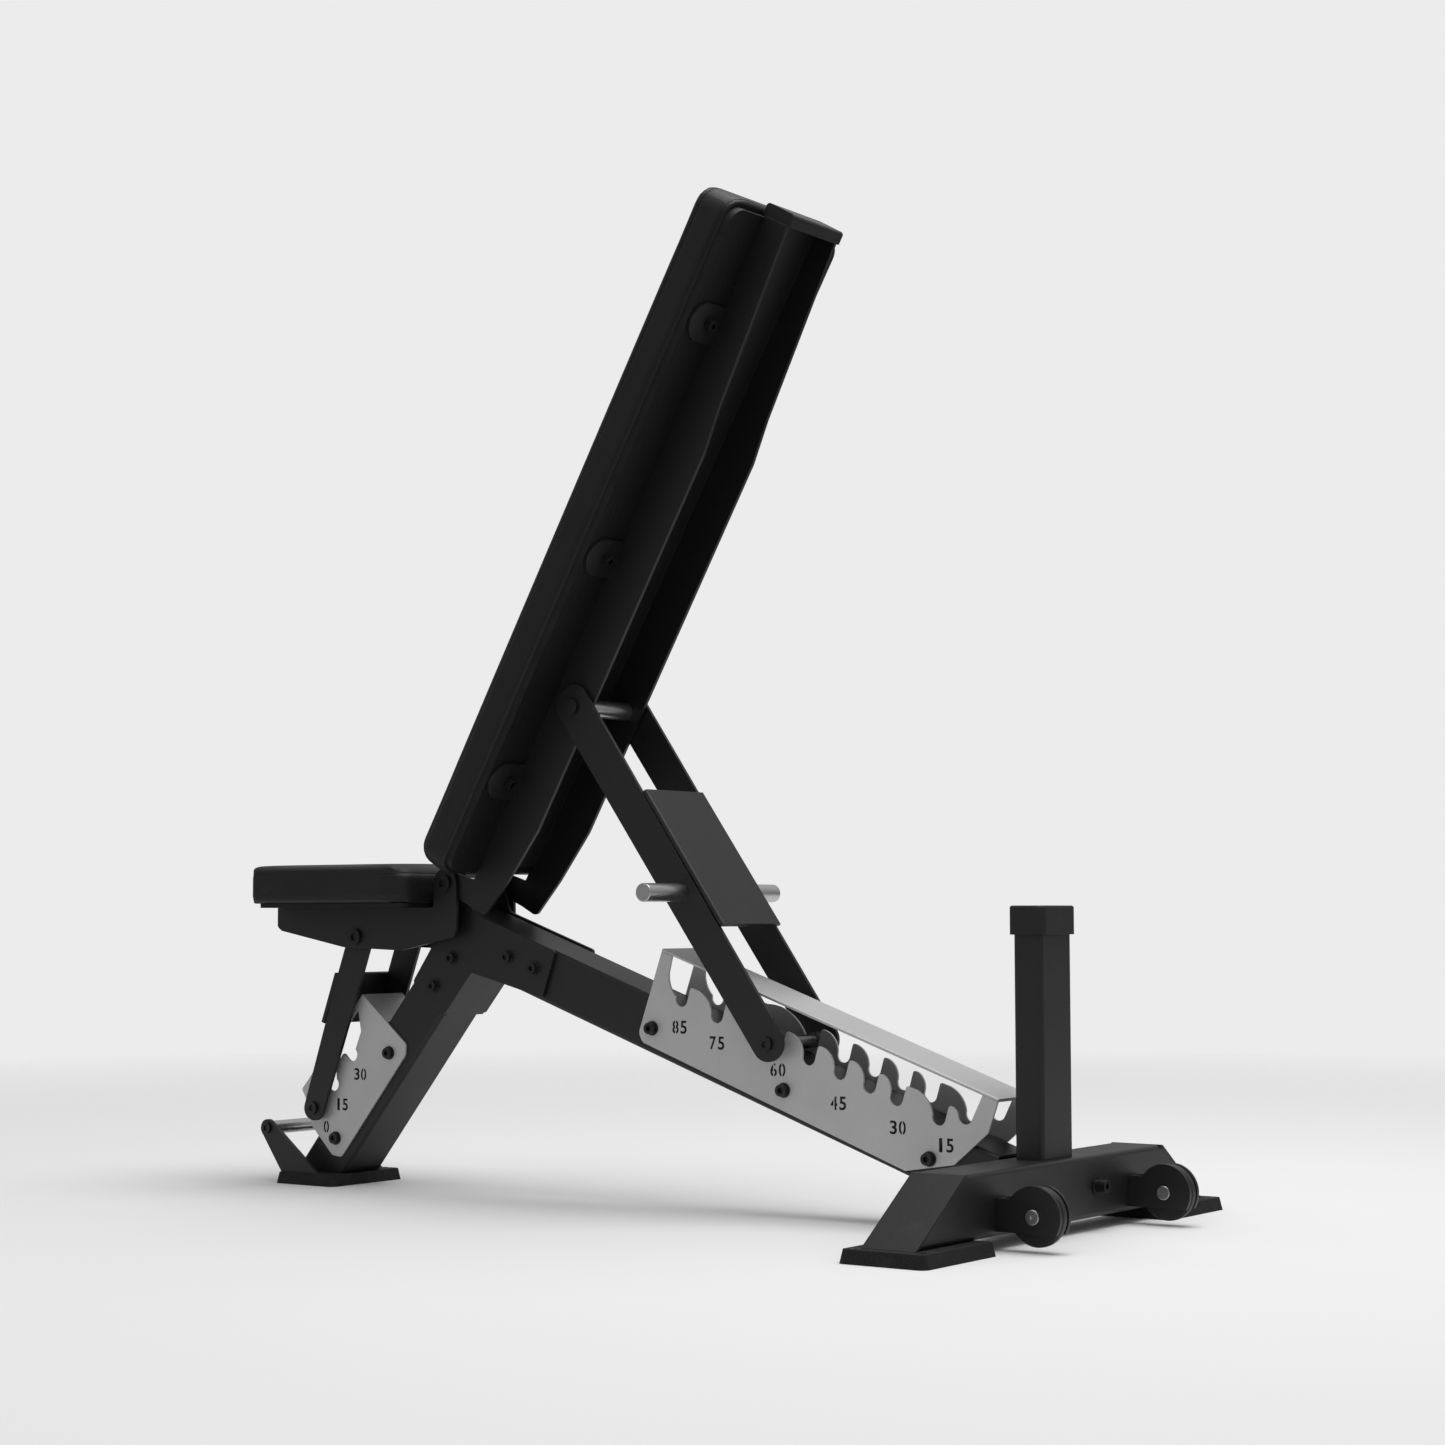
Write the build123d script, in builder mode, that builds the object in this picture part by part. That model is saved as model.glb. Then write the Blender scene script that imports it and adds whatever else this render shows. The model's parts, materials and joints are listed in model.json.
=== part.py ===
"""Adjustable weight bench: rear cross-beam with post and transport wheels, sloping
spine, front leg, two slotted ladders, a backrest held by a propping arm and a seat
held by a shorter arm.

Millimetres, +Z up. +X points to the wheel end, -X to the seat end, Y is the width.
The origin lies on the floor under the middle of the bench. Both backrest (60 degrees)
and seat (0 degrees) are shown in the notches that their rods rest in.
"""

from build123d import *
from math import atan2, cos, degrees, radians, sin, sqrt
import os

os.makedirs("parts", exist_ok=True)

# ---------------------------------------------------------------- driving dimensions
LEFT, RIGHT = -1, 1  # the sides at -Y and +Y
SIDE_NAMES = {LEFT: "left", RIGHT: "right"}
RUNNING = 0.05  # radial clearance of a running fit

# Cross-beam, post and feet at the wheel end
BEAM_FRONT, BEAM_REAR = 530.0, 600.0
BEAM_BOTTOM, BEAM_TOP = 16.0, 91.0
BEAM_HALF_TOP, BEAM_HALF_BOTTOM = 247.0, 355.0
BEAM_WALL, BEAM_CAP = 3.0, 4.0
POST_X, POST_DEPTH, POST_WIDTH = 565.5, 39.0, 76.0
POST_CAP_BOTTOM, POST_CAP_TOP, POST_CAP_LIP = 359.0, 394.0, 5.0
FOOT_HEIGHT, FOOT_TAPER = 16.0, 14.0
REAR_FOOT_FRONT, REAR_FOOT_REAR = 510.0, 625.0
REAR_FOOT_INNER, REAR_FOOT_OUTER = 215.0, 375.0
FOOT_SCREW_RADIUS, FOOT_SCREW_DEPTH = 6.5, 4.0
BEAM_BOLT_Y, BEAM_BOLT_Z, BEAM_BOLT_RADIUS, BEAM_BOLT_HEAD = 67.0, 54.0, 8.0, 13.0

# Transport wheels
WHEEL_X, WHEEL_Z, WHEEL_RADIUS = 648.0, 41.0, 35.0
FORK_INNER, FORK_OUTER, FORK_PLATE = 152.0, 178.0, 5.0
WHEEL_INNER, WHEEL_OUTER = 159.5, 170.5
AXLE_RADIUS, AXLE_HEAD_RADIUS, AXLE_HEAD, AXLE_DIMPLE = 6.0, 8.7, 3.0, 1.8
FORK_ARM_HALF, HUB_RADIUS, SIDE_PLAY = 19.0, 12.0, 0.3

# Spine and leg tubes
TUBE_HALF, TUBE_DEPTH, TUBE_WALL, TUBE_CORNER = 39.0, 72.0, 3.0, 6.0
SPINE_SLOPE = 19.4  # degrees below the horizontal, going to the wheel end
SPINE_END_Z = 53.5  # middle height of the spine where it meets the cross-beam
LEG_SLOPE = 50.7
LEG_FOOT_X = -594.7  # middle of the leg on top of the front foot
END_PLATE, END_PLATE_HALF = 6.0, 85.0  # flange between spine and cross-beam

# Main pivot, shared by seat and backrest
PIVOT_X, PIVOT_Z = -337.0, 427.5
EAR_RADIUS = 21.0
PIVOT_TUBE_RADIUS, PIVOT_TUBE_BORE = 8.0, 4.0

# Half-widths of the plates, from the middle outwards
LADDER_IN, LADDER_OUT = 39.0, 42.0
NECK_IN, NECK_OUT = 39.5, 44.5
FRONT_ARM_IN, FRONT_ARM_OUT = 50.0, 55.0
CHANNEL_IN, CHANNEL_OUT = 53.0, 58.0
SEAT_BRACKET_IN, SEAT_BRACKET_OUT = 59.0, 64.0
PROP_ARM_IN, PROP_ARM_OUT = 61.0, 66.0

# Rear ladder, in its own frame: t along the spine from the 60 degree notch, n across it
NOTCH_60_X, NOTCH_60_Z = 205.0, 220.0
ROD_RADIUS = 9.0
NOTCH_RADIUS = 9.6
REAR_NOTCHES = (-160.0, -99.8, 0.0, 51.0, 100.5, 146.8, 188.5, 252.7)
FLAT_NOTCH, FLAT_NOTCH_N = 287.0, 15.0
TOOTH_TOP = 20.0
LADDER_TOP, LADDER_BOTTOM, COVER_THICKNESS = 52.0, -75.0, 4.0
LADDER_FRONT, LADDER_REAR = -211.0, 323.0
LADDER_BOLTS = (-192.0, 29.0, 256.5)
LADDER_BOLT_N = -52.0

# Front ladder, in its own frame: t up the leg from the 0 degree notch, n to the front
NOTCH_0_X, NOTCH_0_Z = -592.0, 108.0
FRONT_NOTCHES = (0.0, 44.0, 100.0)

# Backrest, in its own frame: u up along it from the main pivot, w to the rear
BACK_ANGLE = 60.2
BACK_PAD = (28.0, 1022.0)
PAD_HALF_WIDTH, PAD_CORNER = 127.0, 28.0
BACK_PAD_FRONT, BACK_PAD_REAR = -26.0, 29.0
BOARD_THICKNESS, BOARD_REAR, BOARD_INSET = 11.0, 40.0, 6.0
CHANNEL_TOP = 1013.0
CHANNEL_WEB, WEB_START = 5.0, 52.0
TAB_PLACES = (857.0, 518.0, 182.0)
TAB_REACH, TAB_HALF = 118.0, 26.5
TAB_BOLT_Y, TAB_BOLT_RADIUS, TAB_BOLT_HEAD = 82.0, 8.0, 10.0
END_CAP = 17.0
ARM_PIVOT_U, ARM_PIVOT_W = 316.0, 80.0
SPACER_RADIUS, SPACER_PIN = 12.0, 7.0

# Seat
SEAT_FRONT, SEAT_REAR = -654.0, -363.0
SEAT_BOTTOM, SEAT_TOP, SEAT_BOARD = 400.0, 454.0, 6.0
SEAT_ARM_X, SEAT_ARM_Z, SEAT_PIN_RADIUS = -503.0, 353.0, 8.0

# Propping arm
ARM_BACK, ARM_FRONT = 29.0, 25.0
ARM_WEB_START, ARM_WEB_END, ARM_WEB = 164.5, 381.6, 5.5
ARM_HANDLE_AT, ARM_HANDLE_HALF, ARM_HANDLE_RADIUS = 308.6, 147.0, 12.0

# Front foot and its carrying handle
FRONT_FOOT_FRONT, FRONT_FOOT_REAR, FRONT_FOOT_HALF = -649.0, -535.0, 75.0
HANDLE_X, HANDLE_Z, HANDLE_RADIUS = -670.5, 77.0, 9.5
HANDLE_IN, HANDLE_OUT = 62.0, 68.0

# Screws: head and washer radius on the plates, and the socket's across-corners radius
HEAD_RADIUS, WASHER_RADIUS, SOCKET_RADIUS = 7.5, 9.5, 4.6


# ---------------------------------------------------------------- shared helpers
def side_frame(x, z, angle=0.0):
    """Plane at (x, 0, z) seen from -Y, its own x axis raised by angle from +X."""
    along = (cos(radians(angle)), 0, sin(radians(angle)))
    return Plane(origin=(x, 0, z), x_dir=along, z_dir=(0, -1, 0))


def place(x, z, angle, t, n):
    """World (x, z) of the point (t, n) of the side frame at (x, z, angle)."""
    turn = radians(angle)
    return x + t * cos(turn) - n * sin(turn), z + t * sin(turn) + n * cos(turn)


def layer(frame, side, near, far):
    """Plane from which extruding the second value fills half-widths near to far of one side."""
    return frame.offset(near if side == LEFT else -far), far - near


def save(piece, name):
    """Label a finished piece and write it to its own STEP file."""
    piece.part.label = name
    export_step(piece.part, f"parts/{name}.step")


def side_plate(frame, side, near, far, corners, holes=()):
    """Flat plate on one side; corners and holes are (t, n, radius) in the frame."""
    plane, thickness = layer(frame, side, near, far)
    with BuildPart() as plate:
        with BuildSketch(plane):
            with BuildLine():
                points = [(t, n) for t, n, radius in corners]
                FilletPolyline(*points, radius=[radius for t, n, radius in corners], close=True)
            make_face()
            for t, n, radius in holes:
                with Locations((t, n)):
                    Circle(radius, mode=Mode.SUBTRACT)
        extrude(amount=thickness)
    return plate


def side_disc(frame, side, near, far, spots, radius, sides=0):
    """Discs, or prisms with that many sides, over half-widths near to far of one side."""
    plane, thickness = layer(frame, side, near, far)
    with BuildPart(mode=Mode.PRIVATE) as discs:
        with BuildSketch(plane):
            with Locations(*spots):
                if sides:
                    RegularPolygon(radius, sides)
                else:
                    Circle(radius)
        extrude(amount=thickness)
    return discs.part


def screws(frame, spots, face, head_radius, head, washer_radius=0.0, washer=1.5):
    """Socket screws on both sides: a washer under a round head with a hexagon socket."""
    top = face + head + (washer if washer_radius else 0.0)
    pieces = []
    for side in (LEFT, RIGHT):
        if washer_radius:
            pieces.append(side_disc(frame, side, face, face + washer, spots, washer_radius))
        heads = side_disc(frame, side, top - head, top, spots, head_radius)
        pieces.append(heads - side_disc(frame, side, top - 0.6 * head, top, spots, 0.55 * head_radius, 6))
    with BuildPart() as screw_set:
        add(pieces)
    return screw_set


def square_tube(plane, length, depth, width, wall, corner):
    """Rectangular tube standing on the plane, open at both ends."""
    with BuildPart() as tube:
        with BuildSketch(plane):
            RectangleRounded(depth, width, corner)
            RectangleRounded(depth - 2 * wall, width - 2 * wall, corner - 0.5 * wall, mode=Mode.SUBTRACT)
        extrude(amount=length)
    return tube


REAR_FRAME = side_frame(NOTCH_60_X, NOTCH_60_Z, -SPINE_SLOPE)
FRONT_FRAME = side_frame(NOTCH_0_X, NOTCH_0_Z, LEG_SLOPE)
BACK_FRAME = side_frame(PIVOT_X, PIVOT_Z, BACK_ANGLE)  # its second axis is -w
LEVEL = side_frame(0, 0)


def back_plane(u, w):
    """Plane at (u, w) of the backrest, its x axis up along it and its normal to the front."""
    along = BACK_FRAME.x_dir
    front = BACK_FRAME.y_dir
    return Plane(origin=BACK_FRAME.origin + along * u - front * w, x_dir=along, z_dir=front)


# ---------------------------------------------------------------- wheel end
def cross_beam():
    """Hollow beam across the floor with sloping ends and a welded cap on each."""
    slope = (BEAM_HALF_BOTTOM - BEAM_HALF_TOP) / (BEAM_TOP - BEAM_BOTTOM)
    cap_run = BEAM_CAP * sqrt(1 + slope * slope)
    depth = BEAM_REAR - BEAM_FRONT
    height = BEAM_TOP - BEAM_BOTTOM
    inner = Plane.XZ.offset(-BEAM_HALF_BOTTOM)
    with BuildPart() as beam:
        with BuildSketch(Plane.YZ.offset(BEAM_FRONT)):
            with BuildLine():
                Polyline(
                    (-BEAM_HALF_BOTTOM + cap_run, BEAM_BOTTOM),
                    (BEAM_HALF_BOTTOM - cap_run, BEAM_BOTTOM),
                    (BEAM_HALF_TOP - cap_run, BEAM_TOP),
                    (-BEAM_HALF_TOP + cap_run, BEAM_TOP),
                    close=True,
                )
            make_face()
        extrude(amount=depth)
        fillet(beam.edges().filter_by(Axis.Y), TUBE_CORNER)
        with BuildSketch(inner):
            with Locations(((BEAM_FRONT + BEAM_REAR) / 2, (BEAM_BOTTOM + BEAM_TOP) / 2)):
                RectangleRounded(depth - 2 * BEAM_WALL, height - 2 * BEAM_WALL, TUBE_CORNER - BEAM_WALL)
        extrude(amount=2 * BEAM_HALF_BOTTOM, mode=Mode.SUBTRACT)
    save(beam, "rear_beam")

    with BuildPart() as caps:
        with BuildSketch(Plane.YZ.offset(BEAM_FRONT)):
            with BuildLine():
                Polyline(
                    (BEAM_HALF_BOTTOM - cap_run, BEAM_BOTTOM),
                    (BEAM_HALF_BOTTOM, BEAM_BOTTOM),
                    (BEAM_HALF_TOP, BEAM_TOP),
                    (BEAM_HALF_TOP - cap_run, BEAM_TOP),
                    close=True,
                )
            make_face()
        extrude(amount=depth)
        mirror(about=Plane.XZ)
    save(caps, "rear_beam_caps")


def post():
    """Upright tube on the beam and the hollow plastic cap that lies on its top."""
    overlap = POST_CAP_TOP - POST_CAP_BOTTOM - POST_CAP_LIP
    foot = Plane(origin=(POST_X, 0, BEAM_TOP))
    upright = square_tube(foot, POST_CAP_BOTTOM + overlap - BEAM_TOP, POST_DEPTH, POST_WIDTH, TUBE_WALL, 6)
    save(upright, "upright_post")
    with BuildPart() as cap:
        with BuildSketch(Plane(origin=(POST_X, 0, POST_CAP_BOTTOM))):
            RectangleRounded(POST_DEPTH + 2 * POST_CAP_LIP, POST_WIDTH + 2 * POST_CAP_LIP, 10)
        extrude(amount=POST_CAP_TOP - POST_CAP_BOTTOM)
        fillet(cap.faces().sort_by(Axis.Z)[-1].edges(), 3)
        with BuildSketch(Plane(origin=(POST_X, 0, POST_CAP_BOTTOM))):
            RectangleRounded(POST_DEPTH, POST_WIDTH, 6)
        extrude(amount=overlap, mode=Mode.SUBTRACT)
    save(cap, "post_cap")


def rubber_foot(x_low, x_high, y_low, y_high, screw_spots, name):
    """Tapered floor pad with a recess for each screw head."""
    middle = ((x_low + x_high) / 2, (y_low + y_high) / 2)
    with BuildPart() as pad:
        with BuildSketch(Plane.XY):
            with Locations(middle):
                RectangleRounded(x_high - x_low, y_high - y_low, 10)
        extrude(amount=FOOT_HEIGHT, taper=FOOT_TAPER)
        with BuildSketch(Plane.XY.offset(FOOT_HEIGHT - FOOT_SCREW_DEPTH)):
            with Locations(*screw_spots):
                Circle(FOOT_SCREW_RADIUS)
        extrude(amount=FOOT_SCREW_DEPTH, mode=Mode.SUBTRACT)
    save(pad, name)


def feet():
    """Two pads under the beam ends, one under the leg, and their countersunk screws."""
    spots = []
    for side in (LEFT, RIGHT):
        inner, outer = sorted((side * REAR_FOOT_INNER, side * REAR_FOOT_OUTER))
        mine = [(x, side * (REAR_FOOT_OUTER - 18)) for x in (REAR_FOOT_FRONT + 14, REAR_FOOT_REAR - 14)]
        rubber_foot(REAR_FOOT_FRONT, REAR_FOOT_REAR, inner, outer, mine, f"rear_foot_{SIDE_NAMES[side]}")
        spots += mine
    mine = [(FRONT_FOOT_REAR - 22, side * (FRONT_FOOT_HALF - 13)) for side in (LEFT, RIGHT)]
    rubber_foot(FRONT_FOOT_FRONT, FRONT_FOOT_REAR, -FRONT_FOOT_HALF, FRONT_FOOT_HALF, mine, "front_foot")
    spots += mine
    with BuildPart() as heads:
        with BuildSketch(Plane.XY.offset(FOOT_HEIGHT - FOOT_SCREW_DEPTH)):
            with Locations(*spots):
                Circle(FOOT_SCREW_RADIUS)
        extrude(amount=FOOT_SCREW_DEPTH)
        with BuildSketch(Plane.XY.offset(FOOT_HEIGHT - FOOT_SCREW_DEPTH / 2)):
            with Locations(*spots):
                RegularPolygon(0.5 * FOOT_SCREW_RADIUS, 6)
        extrude(amount=FOOT_SCREW_DEPTH, mode=Mode.SUBTRACT)
    save(heads, "foot_screws")


def fork_plate(side, near, far):
    """One cheek of a wheel fork: arm from the beam, round head cut flat below, two arc slots."""
    plane, thickness = layer(LEVEL, side, near, far)
    arm_low, arm_high = WHEEL_Z - FORK_ARM_HALF, WHEEL_Z + FORK_ARM_HALF
    slot_ring, slot_width = 24.0, 3.0
    with BuildPart(mode=Mode.PRIVATE) as cheek:
        with BuildSketch(plane):
            with Locations((WHEEL_X, WHEEL_Z)):
                Circle(WHEEL_RADIUS)
            with Locations(((BEAM_REAR + WHEEL_X) / 2, (arm_low + arm_high) / 2)):
                Rectangle(WHEEL_X - BEAM_REAR, arm_high - arm_low)
            with Locations((WHEEL_X, arm_low - WHEEL_RADIUS)):
                Rectangle(3 * WHEEL_RADIUS, 2 * WHEEL_RADIUS, mode=Mode.SUBTRACT)
            with Locations((WHEEL_X, WHEEL_Z)):
                Circle(AXLE_RADIUS, mode=Mode.SUBTRACT)
                for start, sweep in ((105, 85), (-10, 85)):
                    arc = CenterArc((0, 0), slot_ring, start, sweep, mode=Mode.PRIVATE)
                    SlotArc(arc, slot_width, mode=Mode.SUBTRACT)
        extrude(amount=thickness)
    return cheek.part


def wheels():
    """Small transport wheel in a fork on each side of the post, clear of the floor."""
    for side in (LEFT, RIGHT):
        name = SIDE_NAMES[side]
        with BuildPart() as fork:
            add(fork_plate(side, FORK_INNER, FORK_INNER + FORK_PLATE))
            add(fork_plate(side, FORK_OUTER - FORK_PLATE, FORK_OUTER))
            back = layer(LEVEL, side, FORK_INNER + FORK_PLATE, FORK_OUTER - FORK_PLATE)
            with BuildSketch(back[0]):
                with Locations((BEAM_REAR + FORK_PLATE / 2, WHEEL_Z)):
                    Rectangle(FORK_PLATE, 2 * FORK_ARM_HALF)
            extrude(amount=back[1])
        save(fork, f"wheel_fork_{name}")

        plane, thickness = layer(LEVEL, side, WHEEL_INNER, WHEEL_OUTER)
        with BuildPart() as wheel:
            with BuildSketch(plane):
                with Locations((WHEEL_X, WHEEL_Z)):
                    Circle(WHEEL_RADIUS)
                    Circle(AXLE_RADIUS + RUNNING, mode=Mode.SUBTRACT)
            extrude(amount=thickness)
            rims = wheel.edges().filter_by(GeomType.CIRCLE).sort_by(SortBy.RADIUS)[-2:]
            fillet(rims, 3)
            hub_in, hub_out = FORK_INNER + FORK_PLATE + SIDE_PLAY, FORK_OUTER - FORK_PLATE - SIDE_PLAY
            hub = layer(LEVEL, side, hub_in, hub_out)
            with BuildSketch(hub[0]):
                with Locations((WHEEL_X, WHEEL_Z)):
                    Circle(HUB_RADIUS)
                    Circle(AXLE_RADIUS + RUNNING, mode=Mode.SUBTRACT)
            extrude(amount=hub[1])
        save(wheel, f"wheel_{name}")

    axle = [(WHEEL_X, WHEEL_Z)]
    with BuildPart() as axles:
        for side in (LEFT, RIGHT):
            add(side_disc(LEVEL, side, FORK_INNER, FORK_OUTER, axle, AXLE_RADIUS))
            add(side_disc(LEVEL, side, FORK_INNER - AXLE_HEAD, FORK_INNER, axle, AXLE_HEAD_RADIUS))
            outer_head = side_disc(LEVEL, side, FORK_OUTER, FORK_OUTER + AXLE_HEAD, axle, AXLE_HEAD_RADIUS)
            dimple_from, dimple_to = FORK_OUTER + AXLE_HEAD / 2, FORK_OUTER + AXLE_HEAD
            dimple = side_disc(LEVEL, side, dimple_from, dimple_to, axle, AXLE_DIMPLE)
            add(outer_head - dimple)
        fillet(axles.edges().filter_by(GeomType.CIRCLE).group_by(SortBy.RADIUS)[-1], 0.8)
    save(axles, "wheel_axles")


def beam_bolts():
    """Two cap screws that hold the spine's end plate through the beam, seen from behind."""
    washer = 2.0
    spots = [(side * BEAM_BOLT_Y, BEAM_BOLT_Z) for side in (LEFT, RIGHT)]
    with BuildPart() as bolts:
        with BuildSketch(Plane.YZ.offset(BEAM_REAR)):
            with Locations(*spots):
                Circle(1.5 * BEAM_BOLT_RADIUS)
        extrude(amount=washer)
        with BuildSketch(Plane.YZ.offset(BEAM_REAR + washer)):
            with Locations(*spots):
                Circle(BEAM_BOLT_RADIUS)
        extrude(amount=BEAM_BOLT_HEAD)
        with BuildSketch(Plane.YZ.offset(BEAM_REAR + washer + 0.5 * BEAM_BOLT_HEAD)):
            with Locations(*spots):
                RegularPolygon(SOCKET_RADIUS, 6)
        extrude(amount=BEAM_BOLT_HEAD, mode=Mode.SUBTRACT)
    save(bolts, "beam_bolts")


# ---------------------------------------------------------------- spine, leg and neck
SPINE_AXIS = side_frame(BEAM_FRONT, SPINE_END_Z, -SPINE_SLOPE)
LEG_AXIS = side_frame(LEG_FOOT_X, FOOT_HEIGHT, LEG_SLOPE)


def sloping_tube(axis, start, end, cuts):
    """Tube along a side frame's x axis from start to end, kept on the normal side of each cut."""
    section = Plane(origin=axis.origin + axis.x_dir * start, x_dir=axis.y_dir, z_dir=axis.x_dir)
    with BuildPart() as tube:
        with BuildSketch(section):
            RectangleRounded(TUBE_DEPTH, 2 * TUBE_HALF, TUBE_CORNER)
            bore = (TUBE_DEPTH - 2 * TUBE_WALL, 2 * (TUBE_HALF - TUBE_WALL))
            RectangleRounded(*bore, TUBE_CORNER - TUBE_WALL, mode=Mode.SUBTRACT)
        extrude(amount=end - start)
        for cut in cuts:
            split(bisect_by=cut, keep=Keep.TOP)
    return tube


def spine_and_leg():
    """Spine from the beam to the leg's front face, and the leg from its foot up to the spine."""
    half = TUBE_DEPTH / 2
    beam_face = Plane(origin=(BEAM_FRONT - END_PLATE, 0, 0), z_dir=(-1, 0, 0))
    leg_front = Plane(origin=LEG_AXIS.origin + LEG_AXIS.y_dir * half, z_dir=-LEG_AXIS.y_dir)
    spine_under = Plane(origin=SPINE_AXIS.origin - SPINE_AXIS.y_dir * half, z_dir=-SPINE_AXIS.y_dir)
    save(sloping_tube(SPINE_AXIS, -1050, 60, (beam_face, leg_front)), "spine_tube")
    save(sloping_tube(LEG_AXIS, -80, 560, (Plane.XY.offset(FOOT_HEIGHT), spine_under)), "front_leg")
    with BuildPart() as plate:
        with BuildSketch(Plane.YZ.offset(BEAM_FRONT - END_PLATE)):
            with Locations((0, SPINE_END_Z)):
                RectangleRounded(2 * END_PLATE_HALF, BEAM_TOP - BEAM_BOTTOM - 4, 8)
        extrude(amount=END_PLATE)
    save(plate, "spine_end_plate")


def neck():
    """Bracket at the top of the leg: two cheeks with the pivot ears and a web behind the leg."""
    cheek = (
        (-178, 272, 5), (-156, 335, 5), (-308, 388.5, 14), (-317, 424, 0),
        (-357, 424, 0), (-379, 336, 8), (-412, 290, 5), (-355, 243.5, 5), (-304, 304, 6),
    )
    web = ((-304, 304), (-308, 309), (-359, 247), (-355, 243.5))
    with BuildPart() as bracket:
        for side in (LEFT, RIGHT):
            add(side_plate(LEVEL, side, NECK_IN, NECK_OUT, cheek).part)
            add(side_disc(LEVEL, side, NECK_IN, NECK_OUT, [(PIVOT_X, PIVOT_Z)], EAR_RADIUS))
        with BuildSketch(LEVEL):
            with BuildLine():
                Polyline(*web, close=True)
            make_face()
        extrude(amount=NECK_IN, both=True)
        with BuildSketch(LEVEL):
            with Locations((PIVOT_X, PIVOT_Z)):
                Circle(PIVOT_TUBE_RADIUS + RUNNING)
        extrude(amount=NECK_OUT, both=True, mode=Mode.SUBTRACT)
    save(bracket, "neck_bracket")
    bolts = [(-340, 324), (-373, 285), (-239, 326), (-193, 311)]
    save(screws(LEVEL, bolts, NECK_OUT, HEAD_RADIUS, 5.5, WASHER_RADIUS), "neck_bolts")


# ---------------------------------------------------------------- ladders
def notch(t, n=0.0):
    """Round bottom of one notch, drawn from its low-t side to its high-t side."""
    ThreePointArc((t - NOTCH_RADIUS, n), (t, n - NOTCH_RADIUS), (t + NOTCH_RADIUS, n))


def ramp(start, end, bulge):
    """Curved flank of a tooth, bulging out of the tooth by a share of its length."""
    middle = ((start[0] + end[0]) / 2, (start[1] + end[1]) / 2)
    run, rise = end[0] - start[0], end[1] - start[1]
    ThreePointArc(start, (middle[0] - bulge * rise, middle[1] + bulge * run), end)


def rear_ladder():
    """Two notched plates that the prop arm's rod rests in, with a cover bridging their tops."""
    roof = LADDER_TOP - COVER_THICKNESS
    tip, crest = 8.5, 16.5
    outline = (
        (LADDER_FRONT, roof, 0), (LADDER_FRONT, LADDER_BOTTOM + 9, 12), (LADDER_FRONT + 10, LADDER_BOTTOM, 8),
        (229, LADDER_BOTTOM - 4, 0), (291, -46, 4), (LADDER_REAR, 8, 4), (LADDER_REAR, roof, 0),
    )
    for side in (LEFT, RIGHT):
        plane, thickness = layer(REAR_FRAME, side, LADDER_IN, LADDER_OUT)
        with BuildPart() as plate:
            add(side_plate(REAR_FRAME, side, LADDER_IN, LADDER_OUT, outline).part)
            with BuildSketch(plane) as window:
                with BuildLine():
                    first = REAR_NOTCHES[0]
                    last = (REAR_NOTCHES[-1] + crest, TOOTH_TOP - 1)
                    Line((LADDER_FRONT + 18, roof), (LADDER_FRONT + 20, 26))
                    ramp((LADDER_FRONT + 20, 26), (first - NOTCH_RADIUS, 0), -0.12)
                    for t, following in zip(REAR_NOTCHES, REAR_NOTCHES[1:] + (None,)):
                        notch(t)
                        Line((t + NOTCH_RADIUS, 0), (t + tip, TOOTH_TOP))
                        if following is None:
                            Line((t + tip, TOOTH_TOP), last)
                        else:
                            Line((t + tip, TOOTH_TOP), (t + crest, TOOTH_TOP))
                            ramp((t + crest, TOOTH_TOP), (following - NOTCH_RADIUS, 0), 0.16)
                    ramp(last, (FLAT_NOTCH - NOTCH_RADIUS, FLAT_NOTCH_N - 3), 0.1)
                    ThreePointArc(
                        (FLAT_NOTCH - NOTCH_RADIUS, FLAT_NOTCH_N - 3),
                        (FLAT_NOTCH, FLAT_NOTCH_N - NOTCH_RADIUS),
                        (FLAT_NOTCH + NOTCH_RADIUS, FLAT_NOTCH_N - 1),
                    )
                    Line((FLAT_NOTCH + NOTCH_RADIUS, FLAT_NOTCH_N - 1), (LADDER_REAR - 22, roof))
                    Line((LADDER_REAR - 22, roof), (LADDER_FRONT + 18, roof))
                make_face()
                tips = window.vertices().filter_by_position(Axis.Y, TOOTH_TOP - 1.5, TOOTH_TOP + 0.1)
                fillet(tips, 3)
            extrude(amount=thickness, mode=Mode.SUBTRACT)
        save(plate, f"rear_ladder_{SIDE_NAMES[side]}")

    with BuildPart() as cover:
        with BuildSketch(REAR_FRAME):
            with Locations(((LADDER_FRONT + LADDER_REAR) / 2, LADDER_TOP - COVER_THICKNESS / 2)):
                Rectangle(LADDER_REAR - LADDER_FRONT, COVER_THICKNESS)
        extrude(amount=LADDER_OUT, both=True)
        fillet(cover.edges().filter_by(Axis((0, 0, 0), REAR_FRAME.x_dir)), 1.5)
    save(cover, "rear_ladder_cover")
    bolts = [(t, LADDER_BOLT_N) for t in LADDER_BOLTS]
    save(screws(REAR_FRAME, bolts, LADDER_OUT, HEAD_RADIUS, 8.0, WASHER_RADIUS), "rear_ladder_bolts")


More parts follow.
